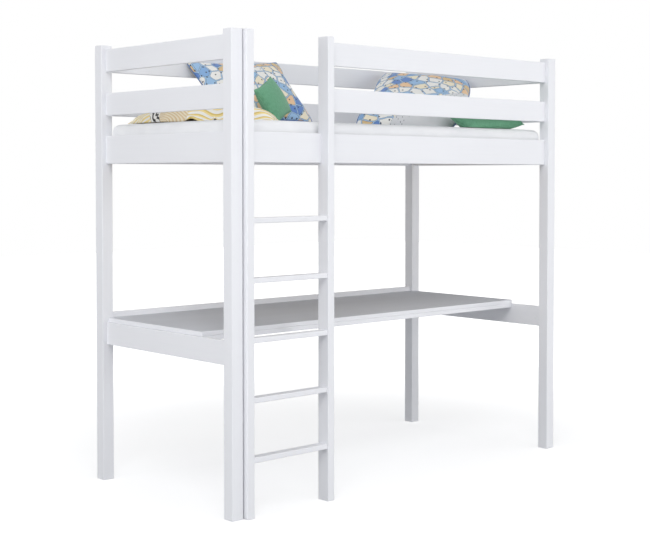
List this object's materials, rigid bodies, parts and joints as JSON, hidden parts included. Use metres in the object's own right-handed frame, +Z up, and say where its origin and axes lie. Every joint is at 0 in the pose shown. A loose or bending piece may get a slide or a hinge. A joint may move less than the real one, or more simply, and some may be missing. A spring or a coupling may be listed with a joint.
{
  "type": "cabin bed",
  "caption": "White wooden high sleeper bed on four square posts, with a full-length desk underneath, a built-in front ladder, guard rails, a slatted base, a mattress and bedding.",
  "frame": {"origin": "on the floor, at the middle of the bed's bounding box, ladder included", "axes": "+X along the bed from the ladder end to the far end, +Y from the front, where the ladder is, to the rear, +Z up"},
  "size_m": [2.087, 1.027, 1.982],
  "materials": {
    "white_lacquer": "satin white lacquer on planed solid wood, faint grain",
    "raw_pine": "planed bare pine",
    "beech": "fluted beech dowel",
    "zinc": "zinc plated steel",
    "white_cap": "white plastic cap",
    "white_sheet": "white cotton fitted sheet",
    "printed_cotton": "cotton printed with small blue, peach and cream patches on one side",
    "green_cotton": "plain green brushed cotton",
    "striped_cotton": "cotton with wavy cream and olive stripes"
  },
  "bodies": {
    "root": {"post_front_left": "white_lacquer", "post_rear_left": "white_lacquer", "post_front_right": "white_lacquer", "post_rear_right": "white_lacquer", "ladder_stile_left": "white_lacquer", "ladder_stile_right": "white_lacquer", "ladder_rung_1": "white_lacquer", "ladder_rung_2": "white_lacquer", "ladder_rung_3": "white_lacquer", "ladder_rung_4": "white_lacquer", "ladder_rung_5": "white_lacquer", "bed_rail_front": "white_lacquer", "bed_rail_rear": "white_lacquer", "bed_rail_left": "white_lacquer", "bed_rail_right": "white_lacquer", "guard_lower_front": "white_lacquer", "guard_upper_front": "white_lacquer", "guard_lower_rear": "white_lacquer", "guard_upper_rear": "white_lacquer", "guard_lower_left": "white_lacquer", "guard_upper_left": "white_lacquer", "guard_lower_right": "white_lacquer", "guard_upper_right": "white_lacquer", "desk_top": "white_lacquer", "desk_front_batten": "white_lacquer", "desk_back_rail": "white_lacquer", "desk_back_cleat": "white_lacquer", "desk_end_rail_left": "white_lacquer", "desk_end_rail_right": "white_lacquer", "slat_ledger_front": "white_lacquer", "slat_ledger_rear": "white_lacquer", "slat_01": "raw_pine", "slat_02": "raw_pine", "slat_03": "raw_pine", "slat_04": "raw_pine", "slat_05": "raw_pine", "slat_06": "raw_pine", "slat_07": "raw_pine", "slat_08": "raw_pine", "slat_09": "raw_pine", "slat_10": "raw_pine", "slat_11": "raw_pine", "slat_12": "raw_pine", "slat_13": "raw_pine", "slat_14": "raw_pine", "rail_bolts": "zinc", "cross_dowel_nuts": "zinc", "bolt_caps": "white_cap", "rail_dowels": "beech", "rung_dowels": "beech", "stile_screws": "zinc", "ledger_screws": "zinc", "slat_screws": "zinc", "desk_screws": "zinc", "mattress": "white_sheet", "pillow_left": "printed_cotton", "pillow_right": "printed_cotton", "cushion_left": "green_cotton", "cushion_right": "green_cotton", "blanket": "striped_cotton"}
  },
  "joints": []
}
